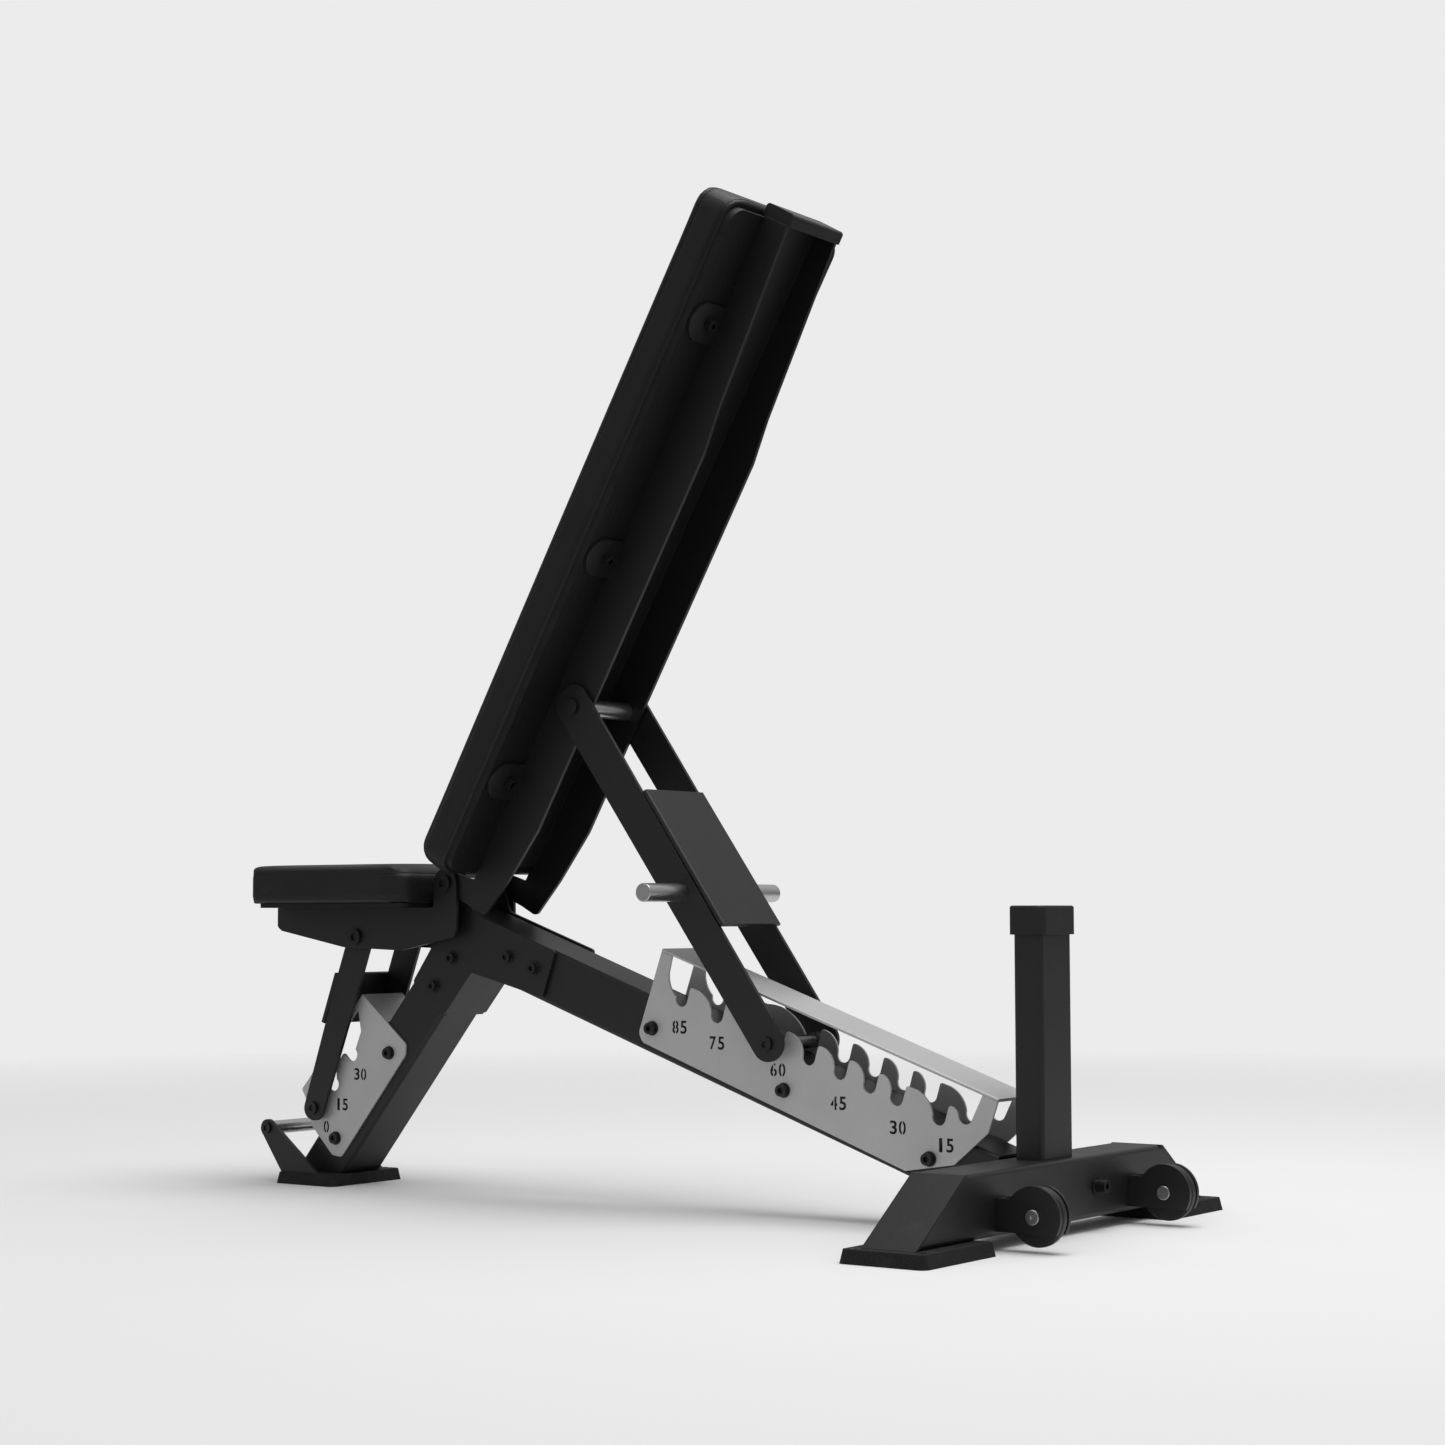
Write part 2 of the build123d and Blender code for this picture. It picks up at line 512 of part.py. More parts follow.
def front_ladder():
    """Two notched plates beside the leg for the seat arm's rod, and the cover on their top edge."""
    top, strip, tooth = 178.0, 33.0, 14.0
    tip, crest = 8.5, 16.5
    outline = (
        (top - COVER_THICKNESS, 40, 0), (17, 42, 3), (-3, 43, 4), (-7, 30, 4), (-30, -7, 10),
        (-35, -62, 8), (-26, -77, 8), (165, -77, 8), (top, -68, 6), (top, -20, 0), (top - COVER_THICKNESS, -20, 0),
    )
    for side in (LEFT, RIGHT):
        plane, thickness = layer(FRONT_FRAME, side, LADDER_IN, LADDER_OUT)
        with BuildPart() as plate:
            add(side_plate(FRONT_FRAME, side, LADDER_IN, LADDER_OUT, outline).part)
            with BuildSketch(plane) as window:
                with BuildLine():
                    Polyline((14, strip), (2, 25), (-NOTCH_RADIUS, 3), (-NOTCH_RADIUS, 0))
                    for t, following in zip(FRONT_NOTCHES, FRONT_NOTCHES[1:] + (None,)):
                        notch(t)
                        if following is not None:
                            ramp((t + NOTCH_RADIUS, 0), (following - crest, tooth), 0.12)
                            Polyline((following - crest, tooth), (following - tip, tooth))
                            Line((following - tip, tooth), (following - NOTCH_RADIUS, 0))
                    high = FRONT_NOTCHES[-1] + NOTCH_RADIUS
                    Polyline((high, 0), (136, 8), (157, strip), (14, strip))
                make_face()
                tips = window.vertices().filter_by_position(Axis.Y, tooth - 0.1, tooth + 0.1)
                fillet(tips, 3)
            extrude(amount=thickness, mode=Mode.SUBTRACT)
        save(plate, f"front_ladder_{SIDE_NAMES[side]}")

    with BuildPart() as cover:
        with BuildSketch(FRONT_FRAME):
            with Locations((top - COVER_THICKNESS / 2, 10)):
                Rectangle(COVER_THICKNESS, 60)
        extrude(amount=LADDER_OUT, both=True)
    save(cover, "front_ladder_cover")
    bolts = [(148, -52), (-12, -52)]
    save(screws(FRONT_FRAME, bolts, LADDER_OUT, HEAD_RADIUS, 5.5, WASHER_RADIUS), "front_ladder_bolts")



# ---------------------------------------------------------------- carrying handle
def handle():
    """Two raked brackets on the front foot with a round bar between them."""
    for side in (LEFT, RIGHT):
        blade = ((-641, FOOT_HEIGHT, 0), (-570, FOOT_HEIGHT, 0), (-663, 87, 0), (-682, 72, 0))
        with BuildPart() as bracket:
            add(side_plate(LEVEL, side, HANDLE_IN, HANDLE_OUT, blade).part)
            add(side_disc(LEVEL, side, HANDLE_IN, HANDLE_OUT, [(HANDLE_X, HANDLE_Z)], 12.5))
        save(bracket, f"handle_bracket_{SIDE_NAMES[side]}")
    with BuildPart() as bar:
        with BuildSketch(LEVEL):
            with Locations((HANDLE_X, HANDLE_Z)):
                Circle(HANDLE_RADIUS)
        extrude(amount=HANDLE_IN, both=True)
    save(bar, "handle_bar")
    save(screws(LEVEL, [(HANDLE_X, HANDLE_Z)], HANDLE_OUT, 8.0, 3.5), "handle_bolts")


# ---------------------------------------------------------------- main pivot
def main_pivot():
    """Tube through neck, backrest and seat, with spacer rings and a screw in each end."""
    centre = [(PIVOT_X, PIVOT_Z)]
    with BuildPart() as tube:
        with BuildSketch(LEVEL):
            with Locations(*centre):
                Circle(PIVOT_TUBE_RADIUS)
                Circle(PIVOT_TUBE_BORE, mode=Mode.SUBTRACT)
        extrude(amount=SEAT_BRACKET_OUT, both=True)
    save(tube, "pivot_tube")
    with BuildPart() as rings:
        for side in (LEFT, RIGHT):
            outer = side_disc(LEVEL, side, NECK_OUT + 0.2, CHANNEL_IN - 0.2, centre, PIVOT_TUBE_RADIUS + 6)
            add(outer - side_disc(LEVEL, side, NECK_OUT, CHANNEL_IN, centre, PIVOT_TUBE_RADIUS))
    save(rings, "pivot_spacers")
    save(screws(LEVEL, centre, SEAT_BRACKET_OUT, 12.0, 5.0), "pivot_bolts")


# ---------------------------------------------------------------- backrest
def backrest_channel():
    """Folded steel channel: two deep cheeks with the pivot ears, and the web on the board."""
    cheek = (
        (CHANNEL_TOP, -40, 0), (27, -40, 3), (19.5, -5, 0), (-19.5, -5, 0), (-9, -29, 6),
        (-7, -52, 0), (-6, -81, 8), (57, -94, 0), (140, -105, 20), (702, -104, 12),
        (765, -96, 30), (CHANNEL_TOP, -80, 0),
    )
    pivot_hole = [(0, 0)]
    with BuildPart() as channel:
        for side in (LEFT, RIGHT):
            add(side_plate(BACK_FRAME, side, CHANNEL_IN, CHANNEL_OUT, cheek).part)
            add(side_disc(BACK_FRAME, side, CHANNEL_IN, CHANNEL_OUT, pivot_hole, 20.0))
        with BuildSketch(BACK_FRAME):
            with Locations(((WEB_START + CHANNEL_TOP) / 2, -40 - CHANNEL_WEB / 2)):
                Rectangle(CHANNEL_TOP - WEB_START, CHANNEL_WEB)
        extrude(amount=CHANNEL_IN, both=True)
        with BuildSketch(BACK_FRAME):
            Circle(PIVOT_TUBE_RADIUS + RUNNING)
            with Locations((ARM_PIVOT_U, -ARM_PIVOT_W)):
                Circle(SPACER_PIN + RUNNING)
        extrude(amount=CHANNEL_OUT, both=True, mode=Mode.SUBTRACT)
    save(channel, "backrest_channel")



def backrest_fittings():
    """Six rounded tabs on the channel, their screws, and the plastic cap on its top end."""
    circle_at = TAB_REACH - TAB_HALF
    rear = BOARD_REAR + CHANNEL_WEB
    with BuildPart() as tabs:
        with BuildSketch(back_plane(0, rear)):
            for u in TAB_PLACES:
                for side in (LEFT, RIGHT):
                    with Locations((u, side * (CHANNEL_OUT + circle_at) / 2)):
                        Rectangle(2 * TAB_HALF, circle_at - CHANNEL_OUT)
                    with Locations((u, side * circle_at)):
                        Circle(TAB_HALF)
        extrude(amount=CHANNEL_WEB)
    save(tabs, "backrest_tabs")

    spots = [(u, side * TAB_BOLT_Y) for u in TAB_PLACES for side in (LEFT, RIGHT)]
    with BuildPart() as bolts:
        with BuildSketch(back_plane(0, rear + TAB_BOLT_HEAD)):
            with Locations(*spots):
                Circle(TAB_BOLT_RADIUS)
        extrude(amount=TAB_BOLT_HEAD)
        with BuildSketch(back_plane(0, rear + TAB_BOLT_HEAD)):
            with Locations(*spots):
                RegularPolygon(SOCKET_RADIUS, 6)
        extrude(amount=0.6 * TAB_BOLT_HEAD, mode=Mode.SUBTRACT)
    save(bolts, "backrest_tab_bolts")

    top = CHANNEL_TOP + END_CAP
    lip = ((CHANNEL_TOP, -36, 0), (top, -36, 5), (top, -84, 5), (CHANNEL_TOP, -84, 0))
    with BuildPart() as cap:
        with BuildSketch(BACK_FRAME):
            with BuildLine():
                FilletPolyline(*[p[:2] for p in lip], radius=[p[2] for p in lip], close=True)
            make_face()
        extrude(amount=CHANNEL_OUT, both=True)
    save(cap, "backrest_end_cap")



def board(plane, length, thickness, name):
    """Wooden board of a cushion, inset from the cushion's edge."""
    with BuildPart() as panel:
        with BuildSketch(plane):
            RectangleRounded(length, 2 * (PAD_HALF_WIDTH - BOARD_INSET), PAD_CORNER - BOARD_INSET)
        extrude(amount=thickness)
    save(panel, name)


def pad(frame, corners, name):
    """Cushion with a rounded side outline and softened side edges."""
    with BuildPart() as block:
        with BuildSketch(frame):
            with BuildLine():
                FilletPolyline(*[p[:2] for p in corners], radius=[p[2] for p in corners], close=True)
            make_face()
        extrude(amount=PAD_HALF_WIDTH, both=True)
        for end in (0, -1):
            fillet(block.faces().filter_by(GeomType.PLANE).sort_by(Axis.Y)[end].edges(), 7)
    save(block, name)


def backrest():
    """Channel, fittings, board and long cushion of the backrest."""
    backrest_channel()
    backrest_fittings()
    low, high = BACK_PAD
    board_low, board_high = low + 2 * BOARD_INSET, CHANNEL_TOP - 0.5 * BOARD_INSET
    middle = back_plane((board_low + board_high) / 2, BOARD_REAR)
    board(middle, board_high - board_low, BOARD_THICKNESS, "backrest_board")
    corners = (
        (low, -BACK_PAD_REAR, 8), (low, -BACK_PAD_FRONT, 22),
        (high, -BACK_PAD_FRONT, 12), (high, -BACK_PAD_REAR, 8),
    )
    pad(BACK_FRAME, corners, "backrest_cushion")


# ---------------------------------------------------------------- propping arm
def arm_frame(from_x, from_z, to_x, to_z):
    """Side frame along an arm, and the arm's length between its two pivots."""
    run, rise = to_x - from_x, to_z - from_z
    return side_frame(from_x, from_z, degrees(atan2(rise, run))), sqrt(run * run + rise * rise)


def prop_arm():
    """Two arms and the web on them, a grip on each, and the rod that rests in the rear ladder."""
    pivot = place(PIVOT_X, PIVOT_Z, BACK_ANGLE, ARM_PIVOT_U, -ARM_PIVOT_W)
    frame, length = arm_frame(*pivot, NOTCH_60_X, NOTCH_60_Z)
    handle_spot = (ARM_HANDLE_AT, 2.0)
    blade = (
        (-27, -ARM_FRONT, 22), (-27, ARM_BACK, 22),
        (length + 23, ARM_BACK - 4, 23), (length + 23, 3 - ARM_FRONT, 23),
    )
    holes = ((0, 0, SPACER_PIN), (*handle_spot, ARM_HANDLE_RADIUS))
    for side in (LEFT, RIGHT):
        arm = side_plate(frame, side, PROP_ARM_IN, PROP_ARM_OUT, blade, holes)
        save(arm, f"prop_arm_{SIDE_NAMES[side]}")

    with BuildPart() as web:
        with BuildSketch(frame):
            with Locations(((ARM_WEB_START + ARM_WEB_END) / 2, ARM_BACK + ARM_WEB / 2)):
                Rectangle(ARM_WEB_END - ARM_WEB_START, ARM_WEB)
        extrude(amount=PROP_ARM_OUT, both=True)
        fillet(web.edges().group_by(Axis((0, 0, 0), frame.y_dir))[-1].filter_by(Axis((0, 0, 0), frame.x_dir)), 4)
    save(web, "prop_arm_web")

    with BuildPart() as grips:
        for side in (LEFT, RIGHT):
            add(side_disc(frame, side, PROP_ARM_IN, ARM_HANDLE_HALF, [handle_spot], ARM_HANDLE_RADIUS))
        for end in (0, -1):
            fillet(grips.edges().filter_by(GeomType.CIRCLE).group_by(Axis.Y)[end], 1.5)
    save(grips, "prop_arm_handle")

    with BuildPart() as spacer:
        with BuildSketch(frame):
            Circle(SPACER_RADIUS)
        extrude(amount=CHANNEL_IN - 0.5, both=True)
        with BuildSketch(frame):
            Circle(SPACER_PIN)
        extrude(amount=PROP_ARM_IN, both=True)
    save(spacer, "arm_spacer_tube")

    with BuildPart() as pins:
        for side in (LEFT, RIGHT):
            add(side_disc(frame, side, PROP_ARM_IN, PROP_ARM_OUT, [(0, 0)], SPACER_PIN))
            add(side_disc(frame, side, PROP_ARM_OUT, PROP_ARM_OUT + 5, [(0, 0)], 11.0))
    save(pins, "prop_arm_pins")

    save(notch_rod(frame, length, PROP_ARM_IN), "locking_rod")
    save(screws(frame, [(length, 0)], PROP_ARM_OUT, 9.0, 4.5), "locking_rod_bolts")


def notch_rod(frame, reach, arm_inner):
    """Rod that rests in a ladder: middle between the plates, and a collared end at each arm."""
    spot = [(reach, 0)]
    with BuildPart() as rod:
        with BuildSketch(frame):
            with Locations(*spot):
                Circle(ROD_RADIUS)
        extrude(amount=LADDER_IN - 0.5, both=True)
        for side in (LEFT, RIGHT):
            add(side_disc(frame, side, LADDER_OUT + 1, arm_inner, spot, ROD_RADIUS))
            add(side_disc(frame, side, LADDER_OUT + 3, arm_inner - 2, spot, ROD_RADIUS + 2.5))
    return rod


# ---------------------------------------------------------------- seat
def seat():
    """Two side brackets from the pivot under the board, cushion, and the seat arm's tube."""
    outline = (
        (-657, 394, 0), (-657, 367, 6), (-649, 361, 6), (-526, 338, 40), (-417, 334, 40),
        (-362, 345, 30), (-321, 353, 6), (-314.5, 364, 6), (-316, 424, 0), (-357, 424, 0), (-357, 394, 4),
    )
    for side in (LEFT, RIGHT):
        with BuildPart() as bracket:
            add(side_plate(LEVEL, side, SEAT_BRACKET_IN, SEAT_BRACKET_OUT, outline).part)
            ear = [(PIVOT_X, PIVOT_Z)]
            add(side_disc(LEVEL, side, SEAT_BRACKET_IN, SEAT_BRACKET_OUT, ear, EAR_RADIUS - 0.5))
            plane, thickness = layer(LEVEL, side, SEAT_BRACKET_IN, SEAT_BRACKET_OUT)
            with BuildSketch(plane):
                with Locations(*ear):
                    Circle(PIVOT_TUBE_RADIUS + RUNNING)
                with Locations((SEAT_ARM_X, SEAT_ARM_Z)):
                    Circle(SEAT_PIN_RADIUS)
            extrude(amount=thickness, mode=Mode.SUBTRACT)
        save(bracket, f"seat_bracket_{SIDE_NAMES[side]}")

    middle = (SEAT_FRONT + SEAT_REAR) / 2
    plane = Plane(origin=(middle, 0, SEAT_BOTTOM - SEAT_BOARD))
    board(plane, SEAT_REAR - SEAT_FRONT - 2 * BOARD_INSET, SEAT_BOARD, "seat_board")
    corners = (
        (SEAT_FRONT, SEAT_BOTTOM, 8), (SEAT_FRONT, SEAT_TOP, 12),
        (SEAT_REAR, SEAT_TOP, 24), (SEAT_REAR, SEAT_BOTTOM, 8),
    )
    pad(LEVEL, corners, "seat_cushion")

    spot = [(SEAT_ARM_X, SEAT_ARM_Z)]
    with BuildPart() as tube:
        with BuildSketch(LEVEL):
            with Locations(*spot):
                Circle(SEAT_PIN_RADIUS)
        extrude(amount=SEAT_BRACKET_OUT, both=True)
        for side in (LEFT, RIGHT):
            add(side_disc(LEVEL, side, FRONT_ARM_OUT + 0.3, SEAT_BRACKET_IN, spot, SEAT_PIN_RADIUS + 5))
    save(tube, "seat_arm_shaft")
    save(screws(LEVEL, spot, SEAT_BRACKET_OUT, 11.0, 5.0), "seat_arm_bolts")



def seat_arm():
    """Short arm under the seat: two plates, the web on their front edge and the locking rod."""
    frame, length = arm_frame(SEAT_ARM_X, SEAT_ARM_Z, NOTCH_0_X, NOTCH_0_Z)
    blade = (
        (-22, -22, 20), (62, -22, 0), (141, -20, 0), (length + 17, -17, 16),
        (length + 17, 19, 17), (74, 22, 0), (-22, 22, 20),
    )
    for side in (LEFT, RIGHT):
        hole = ((0, 0, SEAT_PIN_RADIUS + RUNNING),)
        arm = side_plate(frame, side, FRONT_ARM_IN, FRONT_ARM_OUT, blade, hole)
        save(arm, f"seat_arm_{SIDE_NAMES[side]}")
    with BuildPart() as web:
        with BuildSketch(frame):
            with Locations((102.5, -25)):
                Rectangle(75, 6)
        extrude(amount=FRONT_ARM_OUT, both=True)
    save(web, "seat_arm_web")
    save(notch_rod(frame, length, FRONT_ARM_IN), "seat_locking_rod")
    save(screws(frame, [(length, 0)], FRONT_ARM_OUT, 9.0, 4.0), "seat_locking_rod_bolts")


cross_beam()
post()
feet()
wheels()
beam_bolts()
spine_and_leg()
neck()
rear_ladder()
front_ladder()
handle()
main_pivot()
backrest()
prop_arm()
seat()
seat_arm()
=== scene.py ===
"""Adjustable weight bench: finishes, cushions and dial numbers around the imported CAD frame."""

import json
import math

import bmesh
import bpy
from mathutils import Matrix, Vector
from mathutils.bvhtree import BVHTree


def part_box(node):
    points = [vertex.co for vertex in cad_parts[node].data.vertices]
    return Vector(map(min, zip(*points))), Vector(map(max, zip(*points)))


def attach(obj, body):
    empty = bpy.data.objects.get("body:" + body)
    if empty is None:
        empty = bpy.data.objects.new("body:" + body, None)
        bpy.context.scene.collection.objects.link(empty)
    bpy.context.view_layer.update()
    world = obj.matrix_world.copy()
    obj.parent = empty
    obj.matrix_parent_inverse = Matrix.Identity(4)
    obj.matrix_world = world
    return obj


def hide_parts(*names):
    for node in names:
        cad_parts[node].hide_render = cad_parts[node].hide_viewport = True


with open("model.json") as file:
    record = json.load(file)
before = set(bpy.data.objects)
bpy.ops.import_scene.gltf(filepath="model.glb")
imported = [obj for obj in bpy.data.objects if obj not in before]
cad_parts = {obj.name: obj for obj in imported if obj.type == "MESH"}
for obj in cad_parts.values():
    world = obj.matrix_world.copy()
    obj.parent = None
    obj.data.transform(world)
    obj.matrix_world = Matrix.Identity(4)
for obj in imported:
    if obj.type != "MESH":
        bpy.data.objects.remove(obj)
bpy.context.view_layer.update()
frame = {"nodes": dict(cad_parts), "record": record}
scene = bpy.context.scene
nodes = frame["nodes"]
MM = 0.001

# ---------------------------------------------------------------- node helpers


def new_material(name):
    """An empty material with its output and a Principled shader."""
    mat = bpy.data.materials.new(name)
    mat.use_nodes = True
    tree = mat.node_tree
    tree.nodes.clear()
    out = tree.nodes.new("ShaderNodeOutputMaterial")
    shader = tree.nodes.new("ShaderNodeBsdfPrincipled")
    tree.links.new(shader.outputs["BSDF"], out.inputs["Surface"])
    return mat, tree, shader


def node(tree, kind, settings=None, **inputs):
    """A shader node; inputs are values or sockets, named with _ for a space, or i0, i1 by place."""
    made = tree.nodes.new(kind)
    for key, value in (settings or {}).items():
        setattr(made, key, value)
    for key, value in inputs.items():
        numbered = key[0] == "i" and key[1:].isdigit()
        target = made.inputs[int(key[1:]) if numbered else key.replace("_", " ")]
        if isinstance(value, bpy.types.NodeSocket):
            tree.links.new(value, target)
        else:
            target.default_value = value
    return made


def maths(tree, operation, a, b=0.0):
    return node(tree, "ShaderNodeMath", {"operation": operation}, i0=a, i1=b).outputs[0]


def remap(tree, value, low, high, to_low, to_high):
    """value from low..high to to_low..to_high, held at the ends."""
    return node(
        tree, "ShaderNodeMapRange", None, Value=value, From_Min=low, From_Max=high,
        To_Min=to_low, To_Max=to_high
    ).outputs[0]


def noise(tree, where, scale, detail=3.0, rough=0.5):
    return node(
        tree, "ShaderNodeTexNoise", None, Vector=where, Scale=scale, Detail=detail, Roughness=rough
    ).outputs["Fac"]


def blend_colour(tree, factor, a, b):
    """Colour a where factor is 0 and b where it is 1."""
    mix = tree.nodes.new("ShaderNodeMix")
    mix.data_type = "RGBA"
    sockets = {"Factor": mix.inputs[0], "A": mix.inputs[6], "B": mix.inputs[7]}
    for key, value in (("Factor", factor), ("A", a), ("B", b)):
        if isinstance(value, bpy.types.NodeSocket):
            tree.links.new(value, sockets[key])
        else:
            sockets[key].default_value = value
    return mix.outputs[2]


def grey(value, blue=0.0):
    return (value, value, value + blue, 1.0)


def object_coords(tree, stretch=None):
    """Coordinates that stay with a piece as it moves; stretch scales them per axis."""
    where = node(tree, "ShaderNodeTexCoord").outputs["Object"]
    if stretch:
        where = node(tree, "ShaderNodeMapping", None, Vector=where, Scale=stretch).outputs[0]
    return where


def soft_edges(tree, radius):
    """Normal rounded over sharp edges, and a mask that is 1 on them."""
    rounded = node(tree, "ShaderNodeBevel", {"samples": 4}, Radius=radius).outputs[0]
    straight = node(tree, "ShaderNodeNewGeometry").outputs["Normal"]
    facing = node(tree, "ShaderNodeVectorMath", {"operation": "DOT_PRODUCT"}, i0=rounded, i1=straight)
    return rounded, remap(tree, facing.outputs["Value"], 0.995, 0.90, 0.0, 1.0)


# ---------------------------------------------------------------- materials


def metal_finish(
    name, dark, light, roughness, grain, depth, edge, wear, metallic=0.0, specular=0.5,
    edge_radius=0.9 * MM, stretch=None, blue=0.0
):
    """Painted, plated or bare metal: clouded colour, a fine grain in height and gloss, rubbed edges."""
    mat, tree, shader = new_material(name)
    where = object_coords(tree)
    fine = noise(tree, object_coords(tree, stretch) if stretch else where, grain, 2.0, 0.6)
    cloud = noise(tree, where, 9.0, 5.0, 0.6)
    rubbed = noise(tree, where, 60.0, 4.0, 0.7)
    normal, on_edge = soft_edges(tree, edge_radius)
    tone = maths(tree, "ADD", maths(tree, "MULTIPLY", fine, 0.5), maths(tree, "MULTIPLY", cloud, 0.5))
    colour = blend_colour(tree, remap(tree, tone, 0.3, 0.7, 0.0, 1.0), grey(dark, blue), grey(light, blue))
    gloss = remap(tree, tone, 0.3, 0.7, *roughness)
    worn = maths(tree, "MULTIPLY", on_edge, remap(tree, rubbed, 0.42, 0.62, 0.0, wear))
    colour = blend_colour(tree, worn, colour, grey(edge))
    gloss = maths(tree, "SUBTRACT", gloss, maths(tree, "MULTIPLY", worn, 0.25))
    bump = node(tree, "ShaderNodeBump", None, Strength=1.0, Distance=depth, Height=fine, Normal=normal)
    tree.links.new(colour, shader.inputs["Base Color"])
    tree.links.new(gloss, shader.inputs["Roughness"])
    tree.links.new(bump.outputs[0], shader.inputs["Normal"])
    shader.inputs["Metallic"].default_value = metallic
    shader.inputs["Specular IOR Level"].default_value = specular
    return mat


def vinyl_finish(name):
    """Black vinyl: pebbled leather grain with painted shade in its hollows, creases and a slight drift in
    gloss.
    """
    mat, tree, shader = new_material(name)
    where = object_coords(tree)
    drift = noise(tree, where, 14.0, 4.0, 0.6)
    warp = node(tree, "ShaderNodeTexNoise", None, Vector=where, Scale=420.0, Detail=2.0).outputs["Color"]
    warped = node(
        tree, "ShaderNodeVectorMath", {"operation": "MULTIPLY_ADD"}, i0=warp, i1=(0.0012,) * 3, i2=where
    )
    cells = node(
        tree, "ShaderNodeTexVoronoi", {"feature": "DISTANCE_TO_EDGE"}, Vector=warped.outputs[0], Scale=620.0
    ).outputs["Distance"]
    pebble = remap(tree, cells, 0.0, 0.28, 0.0, 1.0)
    pores = noise(tree, where, 2600.0, 2.0)
    height = maths(tree, "ADD", pebble, maths(tree, "MULTIPLY", pores, 0.35))
    # Painted shade: the colour is darker in the hollows between the pebbles, where the grain is low.
    colour = blend_colour(tree, pebble, grey(0.0035), grey(0.008))
    colour = blend_colour(tree, remap(tree, drift, 0.35, 0.7, 0.0, 0.5), colour, grey(0.011))
    gloss = maths(
        tree, "ADD", remap(tree, pebble, 0.0, 1.0, 0.56, 0.43), remap(tree, drift, 0.3, 0.7, -0.03, 0.04)
    )
    bump = node(tree, "ShaderNodeBump", None, Strength=0.55, Distance=0.12 * MM, Height=height)
    slow = noise(tree, where, 38.0, 3.0, 0.55)
    creases = node(
        tree, "ShaderNodeBump", None, Strength=0.5, Distance=0.5 * MM, Height=slow, Normal=bump.outputs[0]
    )
    tree.links.new(colour, shader.inputs["Base Color"])
    tree.links.new(gloss, shader.inputs["Roughness"])
    tree.links.new(creases.outputs[0], shader.inputs["Normal"])
    shader.inputs["Specular IOR Level"].default_value = 0.32
    return mat


def board_finish(name):
    """Black painted plywood: faint open grain along the board and duller paint in it, with a painted
    highlight along its edges.
    """
    mat, tree, shader = new_material(name)
    along = object_coords(tree, (34.0, 420.0, 34.0))
    grain = noise(tree, along, 1.0, 4.0, 0.6)
    fibre = noise(tree, object_coords(tree, (120.0, 1900.0, 120.0)), 1.0, 2.0)
    pattern = maths(tree, "ADD", maths(tree, "MULTIPLY", grain, 0.7), maths(tree, "MULTIPLY", fibre, 0.3))
    normal, on_edge = soft_edges(tree, 1.2 * MM)
    colour = blend_colour(tree, remap(tree, pattern, 0.35, 0.65, 0.0, 1.0), grey(0.0025), grey(0.006))
    # Painted highlight: every edge of the board is made a little lighter.
    colour = blend_colour(tree, maths(tree, "MULTIPLY", on_edge, 0.2), colour, grey(0.02))
    bump = node(tree, "ShaderNodeBump", None, Strength=0.6, Distance=0.12 * MM, Height=pattern, Normal=normal)
    tree.links.new(colour, shader.inputs["Base Color"])
    tree.links.new(remap(tree, pattern, 0.35, 0.65, 0.72, 0.52), shader.inputs["Roughness"])
    tree.links.new(bump.outputs[0], shader.inputs["Normal"])
    shader.inputs["Specular IOR Level"].default_value = 0.3
    return mat


def moulded_finish(name, dark, light, roughness, depth, scuff, specular=0.4, scale=700.0):
    """Moulded plastic or rubber: spark-eroded texture, soft edges, pale scuffs in patches."""
    mat, tree, shader = new_material(name)
    where = object_coords(tree)
    texture = noise(tree, where, scale, 3.0, 0.55)
    patches = noise(tree, where, 26.0, 5.0, 0.65)
    normal, on_edge = soft_edges(tree, 1.0 * MM)
    colour = blend_colour(tree, remap(tree, texture, 0.3, 0.7, 0.0, 1.0), grey(dark), grey(light))
    in_patches = remap(tree, patches, 0.52, 0.72, 0.0, scuff)
    scuffed = maths(tree, "MULTIPLY", in_patches, maths(tree, "ADD", on_edge, 0.35))
    colour = blend_colour(tree, scuffed, colour, grey(0.09))
    plain_gloss = remap(tree, texture, 0.3, 0.7, *roughness)
    gloss = maths(tree, "ADD", plain_gloss, maths(tree, "MULTIPLY", scuffed, 0.15))
    bump = node(tree, "ShaderNodeBump", None, Strength=0.8, Distance=depth, Height=texture, Normal=normal)
    tree.links.new(colour, shader.inputs["Base Color"])
    tree.links.new(gloss, shader.inputs["Roughness"])
    tree.links.new(bump.outputs[0], shader.inputs["Normal"])
    shader.inputs["Specular IOR Level"].default_value = specular
    return mat


